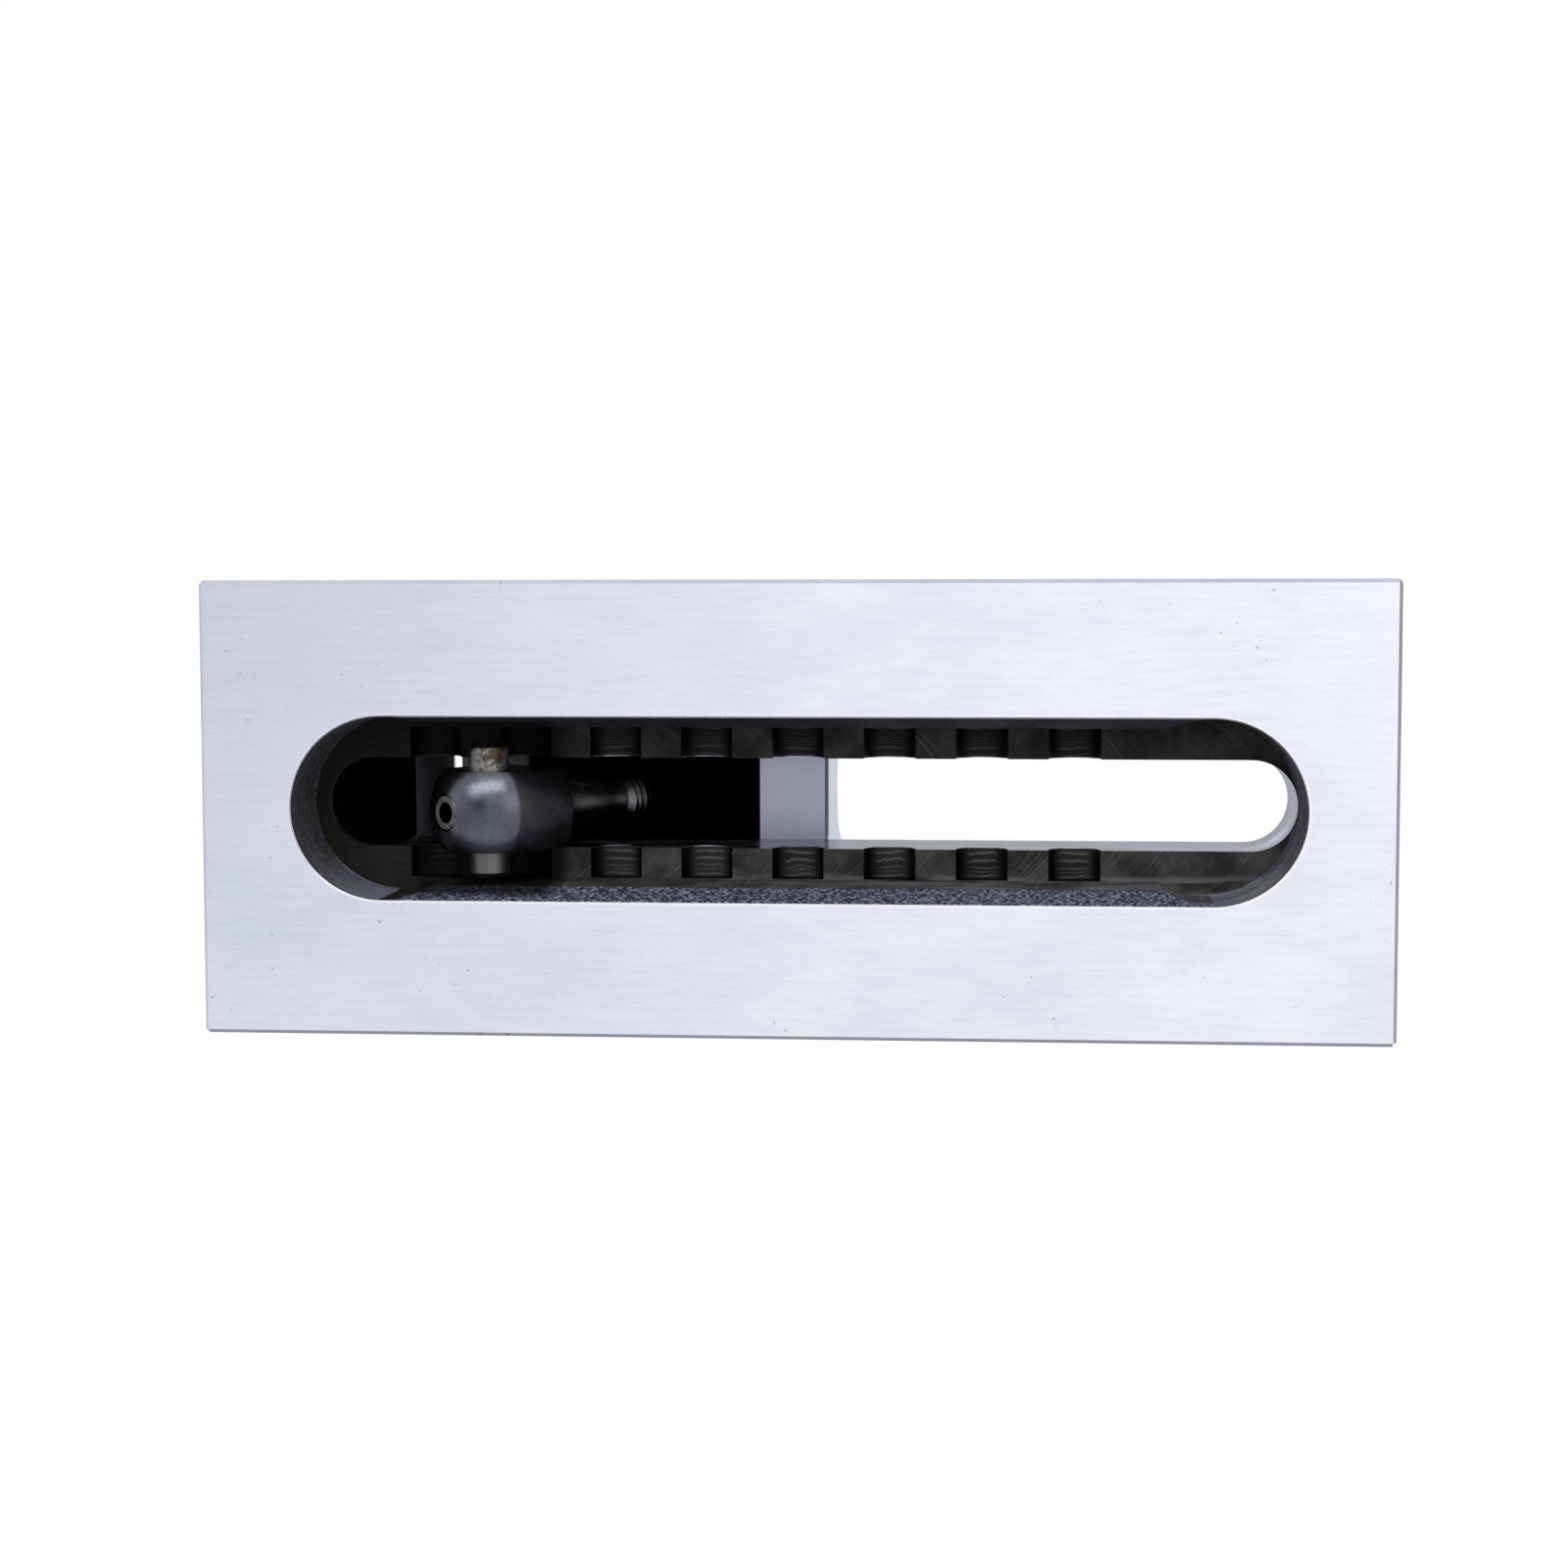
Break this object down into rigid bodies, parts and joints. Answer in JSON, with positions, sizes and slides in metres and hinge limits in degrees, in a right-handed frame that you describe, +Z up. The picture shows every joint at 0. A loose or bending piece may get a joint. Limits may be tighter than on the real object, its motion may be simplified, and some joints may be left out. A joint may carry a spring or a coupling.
{
  "type": "machine vise",
  "caption": "Ground steel toolmaker's vise with a pull-down sliding jaw, a swinging pull rod under it and an indexing slot cut through the bed.",
  "frame": {"origin": "middle of the base's bounding box, on the base plane", "axes": "+X along the bed from the fixed jaw to the open end, +Z up, with the base down"},
  "size_m": [0.19, 0.073, 0.067],
  "materials": {
    "ground_steel": "surface ground",
    "washer_steel": "turned and hardened",
    "blackened_steel": "black oxide",
    "rod_steel": "turned and hardened, oiled",
    "pin_steel": "hardened, worn at the ends"
  },
  "bodies": {
    "bed": {"vise_body": "ground_steel"},
    "jaw": {"moving_jaw": "ground_steel"},
    "washer": {"ball_washer": "washer_steel"},
    "nut": {"clamp_nut": "blackened_steel"},
    "rod": {"pull_rod": "rod_steel", "cross_pin": "pin_steel", "pin_set_screw": "blackened_steel"}
  },
  "joints": [
    {"name": "jaw_slide", "type": "slide", "parent": "bed", "child": "jaw", "axis": [1, 0, 0], "range_m": [-0.00895, 0.09105]},
    {"name": "rod_swing", "type": "hinge", "parent": "jaw", "child": "washer", "pos_m": [-0.00585, 0, 0.06], "axis": [0, 1, 0], "range_deg": [-3.4, 0.9]},
    {"name": "nut_turn", "type": "hinge", "parent": "washer", "child": "nut", "pos_m": [-0.00585, 0, 0.06], "axis": [0.6618, -0.0115, 0.7496], "range_deg": [-361, 361]},
    {"name": "rod_draw", "type": "slide", "parent": "washer", "child": "rod", "axis": [0.6618, -0.0115, 0.7496], "range_m": [-0.00125, 0.00125]}
  ],
  "couplings": [
    {"joint": "nut_turn", "follows": "rod_draw", "rad_per_m": -5026.5}
  ]
}
